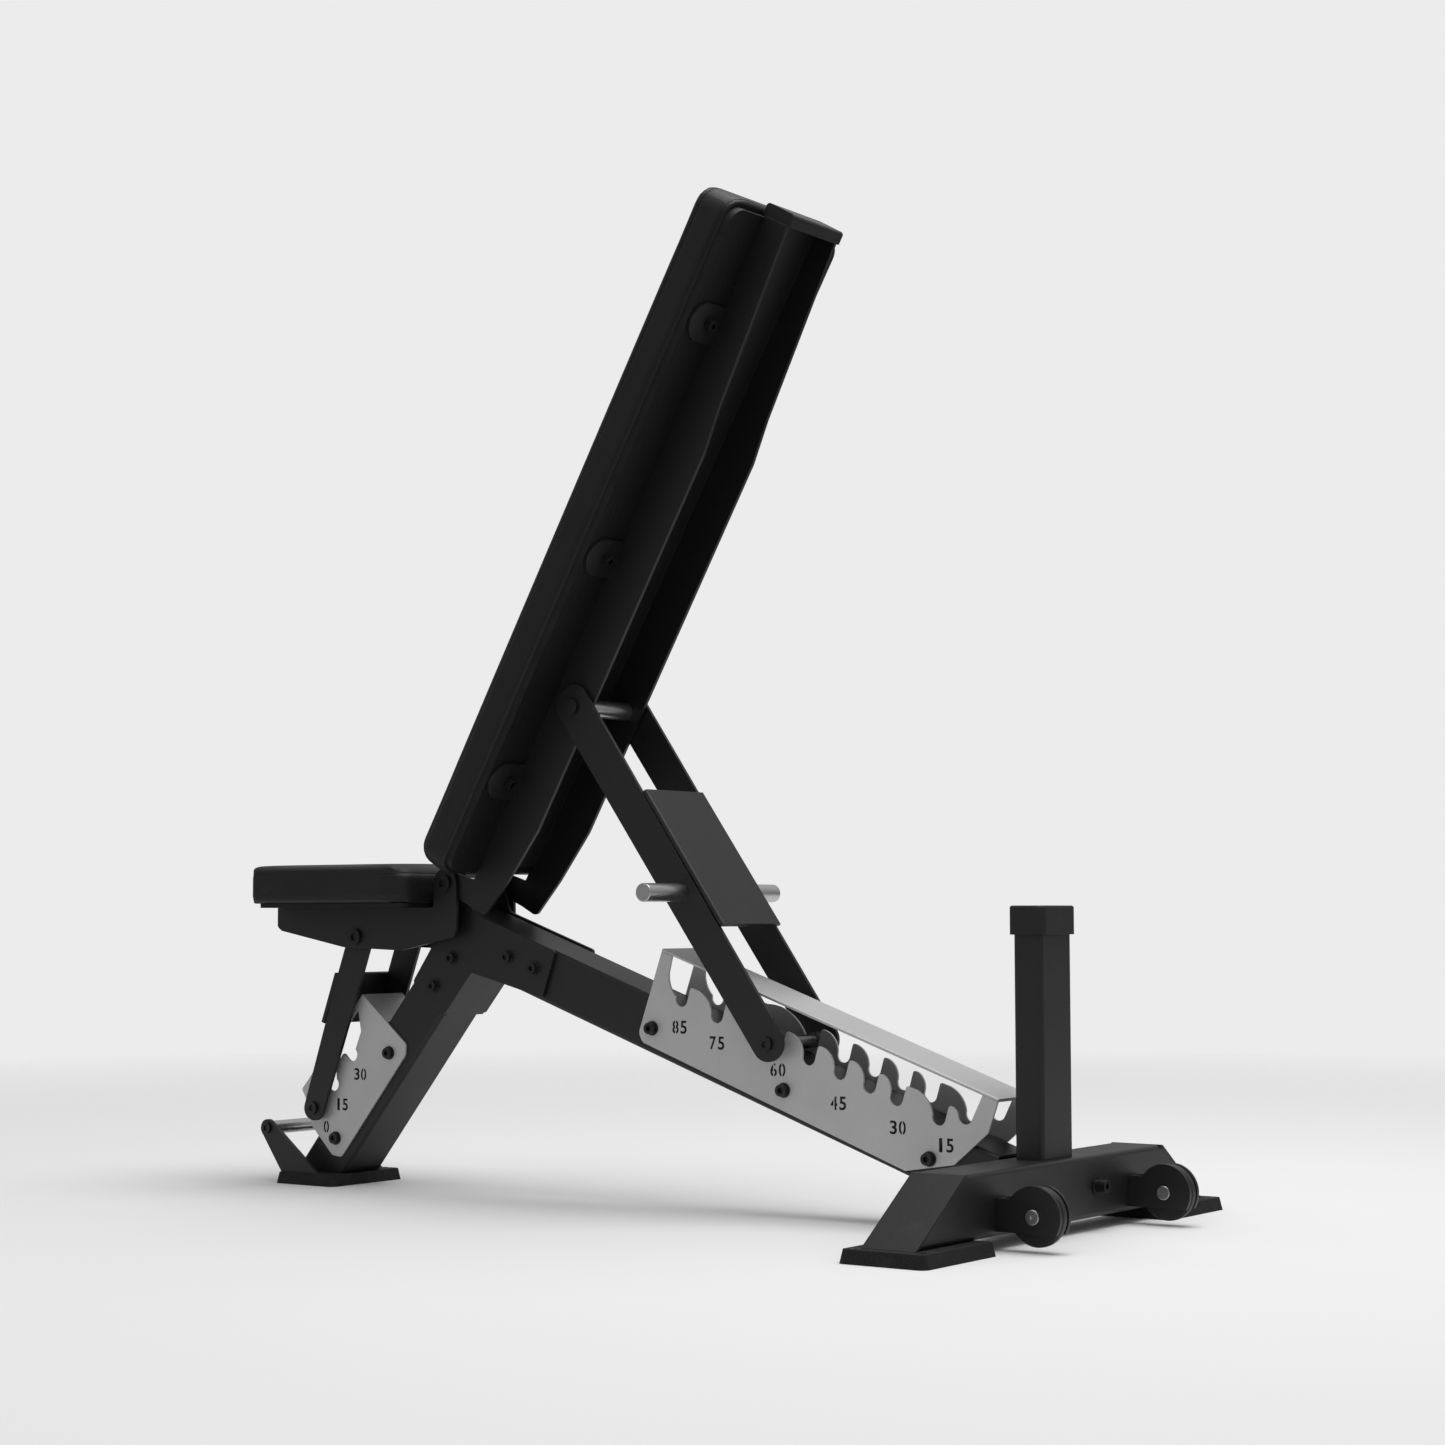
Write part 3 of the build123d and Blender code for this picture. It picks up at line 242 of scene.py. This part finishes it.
finishes = {
    "black_powder_coat": metal_finish(
        "powder_coat", 0.0065, 0.012, (0.50, 0.38), 1500.0, 0.035 * MM, specular=0.40, edge=0.05, wear=0.5
    ),
    "black_hardware": metal_finish(
        "black_oxide", 0.006, 0.013, (0.42, 0.26), 900.0, 0.02 * MM, metallic=0.25, edge=0.16, wear=0.5,
        edge_radius=0.5 * MM
    ),
    "ladder_silver": metal_finish(
        "silver_coat", 0.44, 0.55, (0.50, 0.36), 1700.0, 0.03 * MM, metallic=0.35, edge=0.72, wear=0.5,
        blue=0.004
    ),
    "satin_steel": metal_finish(
        "satin_steel", 0.40, 0.60, (0.40, 0.22), 1.0, 0.012 * MM, metallic=1.0, edge=0.75, wear=0.4,
        edge_radius=0.6 * MM, stretch=(60.0, 2600.0, 60.0)
    ),
    # Painted shade: the satin steel again, made darker, for the two locking rods.
    "shaded_rod_steel": metal_finish(
        "shaded_rod_steel", 0.16, 0.27, (0.36, 0.20), 1.0, 0.012 * MM, metallic=1.0, edge=0.5, wear=0.4,
        edge_radius=0.6 * MM, stretch=(60.0, 2600.0, 60.0)
    ),
    "black_vinyl": vinyl_finish("vinyl"),
    "board_black": board_finish("painted_board"),
    "foot_rubber": moulded_finish("foot_rubber", 0.004, 0.010, (0.85, 0.68), 0.12 * MM, 0.5, 0.3, 520.0),
    "cap_plastic": moulded_finish("cap_plastic", 0.004, 0.009, (0.60, 0.44), 0.06 * MM, 0.35),
    "wheel_plastic": moulded_finish("wheel_plastic", 0.006, 0.012, (0.55, 0.38), 0.05 * MM, 0.5),
}
# The locking rods get the darker copy of the satin steel, which is painted shade.
SHADED_RODS = ("locking_rod", "seat_locking_rod")
for part in frame["record"]["subparts"]:
    piece = nodes[part["node"]]
    finish = finishes["shaded_rod_steel" if part["node"] in SHADED_RODS else part["material_slot"]]
    if not piece.material_slots:
        piece.data.materials.append(None)
    for place in piece.material_slots:
        place.material = finish

# ---------------------------------------------------------------- cushions

PIVOT = Vector((-0.337, 0.0, 0.4275))
BACK_ANGLE = math.radians(60.2)
VOXEL = 5.5 * MM
FOAM_PRESSURE, FOAM_FRAMES = 4.0, 20
HELD_BELOW, FACE_DEPTH = 1.5 * MM, 12 * MM  # glued underside, and the depth that counts as the face
PUFF = 3.0 * MM  # most that the foam swells in the middle of the face
PUFF_AT_EDGE = 0.35  # share of it that is left at the sides
SIDE_MARGIN, FACE_MARGIN = 0.4 * MM, 1.0 * MM  # room for the foam inside the CAD cushion
RIM, UNDER_RIM = 6 * MM, 3 * MM
SEAT_CORNERS, SEAT_END_RIM = (9 * MM, 34 * MM), 24 * MM
BACK_CORNERS, BACK_END_RIM = (28 * MM, 28 * MM), 22 * MM
SEAM_HEIGHT, SEAM_BELOW_FACE = 6 * MM, 12 * MM
SEAM_PRESS, SEAM_WIDTH, WELT_RADIUS = 0.9 * MM, 2.6 * MM, 0.75 * MM
WELT_CORNER, WELT_SPACING = 31 * MM, 6 * MM


def smooth_step(value):
    value = min(max(value, 0.0), 1.0)
    return value * value * (3 - 2 * value)


def slab(name, length, half_width, thickness, corners, edge, end_edge, under_edge):
    """Closed pad lying on its back: x from 0 to length, z from 0 to thickness, face up.

    The upright corners have the two radii of corners, at x = 0 and at x = length. The face's
    rim has radius edge, growing to end_edge at the x = length end, and the lower rim under_edge.
    """
    outline = []
    steps = 12
    near, far = corners
    for corner, cx, cy, start in (
        (near, near, -half_width + near, 180),
        (far, length - far, -half_width + far, 270),
        (far, length - far, half_width - far, 0),
        (near, near, half_width - near, 90),
    ):
        for k in range(steps + 1):
            turn = math.radians(start + 90 * k / steps)
            outward = Vector((math.cos(turn), math.sin(turn), 0))
            outline.append((Vector((cx, cy, 0)) + corner * outward, outward))
    mesh = bmesh.new()
    rings = []
    rim_steps = 6
    for upper in (False, True):
        for k in range(rim_steps + 1):
            turn = math.radians(90 * k / rim_steps)
            ring = []
            for point, outward in outline:
                radius = under_edge
                if upper:
                    radius = edge + (end_edge - edge) * smooth_step((point.x / length - 0.93) / 0.05)
                    inset, z = radius * (1 - math.cos(turn)), thickness - radius * (1 - math.sin(turn))
                else:
                    inset, z = radius * (1 - math.sin(turn)), radius * (1 - math.cos(turn))
                ring.append(mesh.verts.new(point - inset * outward + Vector((0, 0, z))))
            rings.append(ring)
    count = len(outline)
    for low, high in zip(rings, rings[1:]):
        for k in range(count):
            mesh.faces.new((low[k], low[(k + 1) % count], high[(k + 1) % count], high[k]))
    mesh.faces.new(list(reversed(rings[0])))
    mesh.faces.new(rings[-1])
    bmesh.ops.recalc_face_normals(mesh, faces=mesh.faces)
    data = bpy.data.meshes.new(name)
    mesh.to_mesh(data)
    mesh.free()
    pad = bpy.data.objects.new(name, data)
    scene.collection.objects.link(pad)
    return pad


def apply_modifiers(obj):
    """Replaces the mesh with what its modifiers make of it."""
    graph = bpy.context.evaluated_depsgraph_get()
    baked = bpy.data.meshes.new_from_object(obj.evaluated_get(graph))
    obj.modifiers.clear()
    obj.data = baked


def stuff(pad, length, half_width, thickness):
    """Voxel remesh, then a pressurised cloth run whose travel is capped, more in the middle."""
    remesh = pad.modifiers.new("remesh", "REMESH")
    remesh.mode = "VOXEL"
    remesh.voxel_size = VOXEL
    apply_modifiers(pad)
    rest = [v.co.copy() for v in pad.data.vertices]
    held = pad.vertex_groups.new(name="held")
    held.add([k for k, co in enumerate(rest) if co.z < HELD_BELOW], 1.0, "REPLACE")
    cloth = pad.modifiers.new("foam", "CLOTH")
    cloth.settings.use_pressure = True
    cloth.settings.uniform_pressure_force = FOAM_PRESSURE
    cloth.settings.tension_stiffness = 30.0
    cloth.settings.compression_stiffness = 30.0
    cloth.settings.bending_stiffness = 2.0
    cloth.settings.vertex_group_mass = "held"
    cloth.settings.effector_weights.gravity = 0.0
    cloth.settings.quality = 5
    cloth.collision_settings.use_collision = False
    for k in range(1, FOAM_FRAMES + 1):
        scene.frame_set(k)
    graph = bpy.context.evaluated_depsgraph_get()
    made = pad.evaluated_get(graph).data
    moved = [v.co.copy() for v in made.vertices]
    pad.modifiers.clear()
    scene.frame_set(1)
    for v, start, end in zip(pad.data.vertices, rest, moved):
        travel = end - start
        middle = (1 - (abs(start.y) / half_width) ** 2) * (1 - abs(2 * start.x / length - 1) ** 6)
        most = PUFF * PUFF_AT_EDGE
        if start.z > thickness - FACE_DEPTH:
            most += PUFF * (1 - PUFF_AT_EDGE) * max(middle, 0.0)
        if travel.length > most:
            travel *= most / travel.length
        v.co = start + travel
    subdivide = pad.modifiers.new("smooth", "SUBSURF")
    subdivide.levels = subdivide.render_levels = 1
    apply_modifiers(pad)


def press_seam(pad, height):
    """Draws the sides in along a seam at that height."""
    normals = [v.normal.copy() for v in pad.data.vertices]
    for v, normal in zip(pad.data.vertices, normals):
        if abs(normal.z) < 0.85:
            v.co -= normal * SEAM_PRESS * math.exp(-(((v.co.z - height) / SEAM_WIDTH) ** 2))


def seam_line(name, pad, length, half_width, height):
    """A thin welt that follows the pad's sides at that height."""
    tree = BVHTree.FromPolygons(
        [v.co for v in pad.data.vertices], [p.vertices for p in pad.data.polygons]
    )
    centre = Vector((length / 2, 0, height))
    path = []
    for x, y in rounded_outline(length, half_width, WELT_CORNER, WELT_SPACING):
        outer = Vector((x, y, height))
        inward = centre - outer
        inward = Vector((inward.x / length, inward.y / (2 * half_width), 0)).normalized()
        hit = tree.ray_cast(outer - inward * 0.03, inward)[0]
        if hit:
            path.append(hit)
    return tube(name, path, WELT_RADIUS)


def rounded_outline(length, half_width, corner, spacing):
    """Evenly spaced points round the pad's plan."""
    points = []
    for cx, cy, start, run in (
        (corner, -half_width + corner, 180, Vector((1, 0))),
        (length - corner, -half_width + corner, 270, Vector((0, 1))),
        (length - corner, half_width - corner, 0, Vector((-1, 0))),
        (corner, half_width - corner, 90, Vector((0, -1))),
    ):
        for k in range(9):
            turn = math.radians(start + 90 * k / 8)
            points.append(Vector((cx + corner * math.cos(turn), cy + corner * math.sin(turn))))
        side = length if run.x else 2 * half_width
        count = int((side - 2 * corner) / spacing)
        last = points[-1].copy()
        points += [last + run * (side - 2 * corner) * k / count for k in range(1, count)]
    return [(p.x, p.y) for p in points]


def tube(name, path, radius, sides=8):
    """Round tube along a closed path."""
    mesh = bmesh.new()
    rings = []
    count = len(path)
    for k, point in enumerate(path):
        ahead = path[(k + 1) % count] - path[k - 1]
        across = ahead.cross(Vector((0, 0, 1))).normalized()
        up = across.cross(ahead).normalized()
        rings.append(
            [
                mesh.verts.new(
                    point
                    + radius
                    * (math.cos(math.tau * j / sides) * across + math.sin(math.tau * j / sides) * up)
                )
                for j in range(sides)
            ]
        )
    for k in range(count):
        low, high = rings[k], rings[(k + 1) % count]
        for j in range(sides):
            mesh.faces.new((low[j], low[(j + 1) % sides], high[(j + 1) % sides], high[j]))
    bmesh.ops.recalc_face_normals(mesh, faces=mesh.faces)
    data = bpy.data.meshes.new(name)
    mesh.to_mesh(data)
    mesh.free()
    made = bpy.data.objects.new(name, data)
    scene.collection.objects.link(made)
    return made


def shade(obj, material):
    obj.data.materials.clear()
    obj.data.materials.append(material)
    for face in obj.data.polygons:
        face.use_smooth = True


def cushion(name, seam_name, node_name, body, matrix, size, corners, end_rim):
    """Upholstered pad with two welts, set into the frame's axes by matrix; fills the CAD cushion."""
    length, half_width, thickness = size
    inner_length, inner_half = length - 2 * SIDE_MARGIN, half_width - SIDE_MARGIN
    inner_thickness = thickness - FACE_MARGIN
    pad = slab(name, inner_length, inner_half, inner_thickness, corners, RIM, end_rim, UNDER_RIM)
    stuff(pad, inner_length, inner_half, inner_thickness)
    heights = (SEAM_HEIGHT, thickness - SEAM_BELOW_FACE)
    for height in heights:
        press_seam(pad, height)
    welts = [
        seam_line(f"{seam_name}_{place}", pad, inner_length, inner_half, height)
        for place, height in zip(("lower", "upper"), heights)
    ]
    move = matrix @ Matrix.Translation((SIDE_MARGIN, 0, 0))
    for obj in (pad, *welts):
        obj.data.transform(move)
        obj.data.update()
        shade(obj, finishes["black_vinyl"])
        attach(obj, body)
    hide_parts(node_name)


SEAT_LOW, SEAT_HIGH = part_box("seat_cushion")
seat_place = Matrix.Translation((SEAT_LOW[0], 0, SEAT_LOW[2]))
seat_size = (SEAT_HIGH[0] - SEAT_LOW[0], SEAT_HIGH[1], SEAT_HIGH[2] - SEAT_LOW[2])
cushion("seat_pad", "seat_seam", "seat_cushion", "seat", seat_place, seat_size, SEAT_CORNERS, SEAT_END_RIM)

# The backrest pad's own x runs down the backrest to the pivot, and its z points to the user.
BACK_PAD = (28 * MM, 1022 * MM)
BACK_PAD_REAR, BACK_PAD_FRONT = 29 * MM, -26 * MM
up_back = Vector((math.cos(BACK_ANGLE), 0, math.sin(BACK_ANGLE)))
rearward = Vector((math.sin(BACK_ANGLE), 0, -math.cos(BACK_ANGLE)))
down_back, face_side = -up_back, -rearward
across = face_side.cross(down_back)
corner = PIVOT + up_back * BACK_PAD[1] + rearward * BACK_PAD_REAR
back_place = Matrix.Translation(corner) @ Matrix((down_back, across, face_side)).transposed().to_4x4()
back_size = (BACK_PAD[1] - BACK_PAD[0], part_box("backrest_cushion")[1][1], BACK_PAD_REAR - BACK_PAD_FRONT)
cushion(
    "backrest_pad", "backrest_seam", "backrest_cushion", "backrest", back_place, back_size, BACK_CORNERS,
    BACK_END_RIM
)

# ---------------------------------------------------------------- dial numbers on the ladders

DIGIT_HEIGHT, DIGIT_WIDTH, DIGIT_STEP = 17 * MM, 10 * MM, 13 * MM
ONE_WIDTH = 0.46 * DIGIT_WIDTH
STROKE_OFFSET = 0.018  # thickens the font's strokes, in font units
STENCIL_GAP = 1.6 * MM
NUMBER_FACE, NUMBER_THICKNESS = 42 * MM, 0.15 * MM
REAR_LADDER = (Vector((0.205, 0, 0.220)), math.radians(-19.4))
FRONT_LADDER = (Vector((-0.592, 0, 0.108)), math.radians(50.7))
# Each number with its place along and across its ladder, in mm.
REAR_NUMBERS = (
    ("85", -151, -35), ("75", -88, -33), ("60", 12, -31), ("45", 111, -37), ("30", 202, -33), ("15", 272, -28)
)
FRONT_NUMBERS = (("30", 88.7, -29.5), ("15", 32.5, -30.2), ("0", -12, -27.9))


def digit(character):
    """Flat mesh of one digit, centred, of the dial's height, bridged where it would have an island."""
    curve = bpy.data.curves.new("digit", "FONT")
    curve.body = character
    curve.resolution_u = 6
    curve.offset = STROKE_OFFSET
    holder = bpy.data.objects.new("digit", curve)
    scene.collection.objects.link(holder)
    graph = bpy.context.evaluated_depsgraph_get()
    graph.update()
    data = bpy.data.meshes.new_from_object(holder.evaluated_get(graph))
    bpy.data.objects.remove(holder)
    mesh = bmesh.new()
    mesh.from_mesh(data)
    xs = [v.co.x for v in mesh.verts]
    ys = [v.co.y for v in mesh.verts]
    wide = ONE_WIDTH if character == "1" else DIGIT_WIDTH
    for v in mesh.verts:
        v.co.x = (v.co.x - (min(xs) + max(xs)) / 2) * wide / (max(xs) - min(xs))
        v.co.y = (v.co.y - (min(ys) + max(ys)) / 2) * DIGIT_HEIGHT / (max(ys) - min(ys))
    if character in "0468":
        for side in (-1, 1):
            everything = mesh.verts[:] + mesh.edges[:] + mesh.faces[:]
            bmesh.ops.bisect_plane(
                mesh, geom=everything, plane_co=(side * STENCIL_GAP / 2, 0, 0), plane_no=(1, 0, 0),
                dist=1e-6
            )
        inside = [f for f in mesh.faces if abs(f.calc_center_median().x) < STENCIL_GAP / 2]
        bmesh.ops.delete(mesh, geom=inside, context="FACES")
    return mesh


def numbers(name, ladder, labels, side):
    """The level numbers on one side of a ladder, as one piece."""
    origin, slope = ladder
    whole = bmesh.new()
    for label, along, out in labels:
        x = origin.x + (along * math.cos(slope) - out * math.sin(slope)) * MM
        z = origin.z + (along * math.sin(slope) + out * math.cos(slope)) * MM
        for k, character in enumerate(label):
            shift = (k - (len(label) - 1) / 2) * DIGIT_STEP
            flat = digit(character)
            top = bmesh.ops.extrude_face_region(flat, geom=flat.faces[:])
            for v in (g for g in top["geom"] if isinstance(g, bmesh.types.BMVert)):
                v.co.z += NUMBER_THICKNESS
            bmesh.ops.recalc_face_normals(flat, faces=flat.faces)
            turn = Matrix(((-side, 0, 0), (0, 0, side), (0, 1, 0))).to_4x4()
            flat.transform(
                Matrix.Translation((x, side * NUMBER_FACE, z)) @ turn @ Matrix.Translation((shift, 0, 0))
            )
            data = bpy.data.meshes.new("part")
            flat.to_mesh(data)
            flat.free()
            whole.from_mesh(data)
    bmesh.ops.recalc_face_normals(whole, faces=whole.faces)
    data = bpy.data.meshes.new(name)
    whole.to_mesh(data)
    whole.free()
    piece = bpy.data.objects.new(name, data)
    scene.collection.objects.link(piece)
    piece.data.materials.append(number_paint)
    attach(piece, "frame")


number_paint = moulded_finish("number_paint", 0.004, 0.008, (0.62, 0.48), 0.02 * MM, 0.2, 0.3, 1400.0)
for side, word in ((-1, "left"), (1, "right")):
    numbers(f"rear_ladder_numbers_{word}", REAR_LADDER, REAR_NUMBERS, side)
    numbers(f"front_ladder_numbers_{word}", FRONT_LADDER, FRONT_NUMBERS, side)

# ---------------------------------------------------------------- stage, light and camera

FLOOR_RADIUS, FLOOR_FADE, FLOOR_CLEAR = 5.0, 0.9, 4.2  # whole up to the fade, gone past clear


def make_floor():
    """Pale round floor that fades out, so that it has no horizon."""
    data = bpy.data.meshes.new("floor")
    mesh = bmesh.new()
    bmesh.ops.create_circle(mesh, cap_ends=True, segments=128, radius=FLOOR_RADIUS)
    mesh.to_mesh(data)
    mesh.free()
    floor = bpy.data.objects.new("floor", data)
    scene.collection.objects.link(floor)
    mat, tree, shader = new_material("floor")
    where = object_coords(tree)
    speckle = noise(tree, where, 3.0, 3.0)
    tree.links.new(blend_colour(tree, speckle, grey(0.765), grey(0.78)), shader.inputs["Base Color"])
    shader.inputs["Roughness"].default_value = 0.9
    shader.inputs["Specular IOR Level"].default_value = 0.1
    distance = node(tree, "ShaderNodeVectorMath", {"operation": "LENGTH"}, i0=where).outputs["Value"]
    tree.links.new(remap(tree, distance, FLOOR_FADE, FLOOR_CLEAR, 1.0, 0.0), shader.inputs["Alpha"])
    data.materials.append(mat)


def make_world(backdrop, top, horizon):
    """Even backdrop for the camera; the object is lit by a sky that is brighter overhead."""
    world = bpy.data.worlds.new("studio")
    scene.world = world
    world.use_nodes = True
    tree = world.node_tree
    tree.nodes.clear()
    out = tree.nodes.new("ShaderNodeOutputWorld")
    where = node(tree, "ShaderNodeTexCoord").outputs["Generated"]
    height = node(tree, "ShaderNodeSeparateXYZ", None, Vector=where).outputs["Z"]
    sky = remap(tree, height, 0.0, 0.9, horizon, top)
    lit = node(tree, "ShaderNodeBackground", None, Strength=sky)
    seen = node(tree, "ShaderNodeBackground", None, Color=grey(backdrop))
    direct = node(tree, "ShaderNodeLightPath").outputs["Is Camera Ray"]
    mix = node(tree, "ShaderNodeMixShader", None, Fac=direct)
    tree.links.new(lit.outputs[0], mix.inputs[1])
    tree.links.new(seen.outputs[0], mix.inputs[2])
    tree.links.new(mix.outputs[0], out.inputs["Surface"])


def area_light(name, location, target, size, power):
    lamp = bpy.data.lights.new(name, "AREA")
    lamp.shape = "DISK"
    lamp.size = size
    lamp.energy = power
    holder = bpy.data.objects.new(name, lamp)
    holder.location = location
    holder.rotation_euler = (Vector(target) - Vector(location)).to_track_quat("-Z", "Y").to_euler()
    scene.collection.objects.link(holder)


make_floor()
make_world(backdrop=0.838, top=0.92, horizon=0.30)
area_light("overhead", (0.8, 0.3, 3.6), (0.0, 0.0, 0.3), 3.0, 90.0)

lens = bpy.data.cameras.new("camera")
lens.lens = 68.1
lens.sensor_width = 36.0
lens.clip_start, lens.clip_end = 0.05, 60.0
camera = bpy.data.objects.new("camera", lens)
camera.location = (2.178, -2.927, 0.386)
camera.rotation_euler = (math.radians(93.98), math.radians(0.11), math.radians(35.50))
scene.collection.objects.link(camera)
scene.camera = camera
scene.view_settings.view_transform = "Standard"
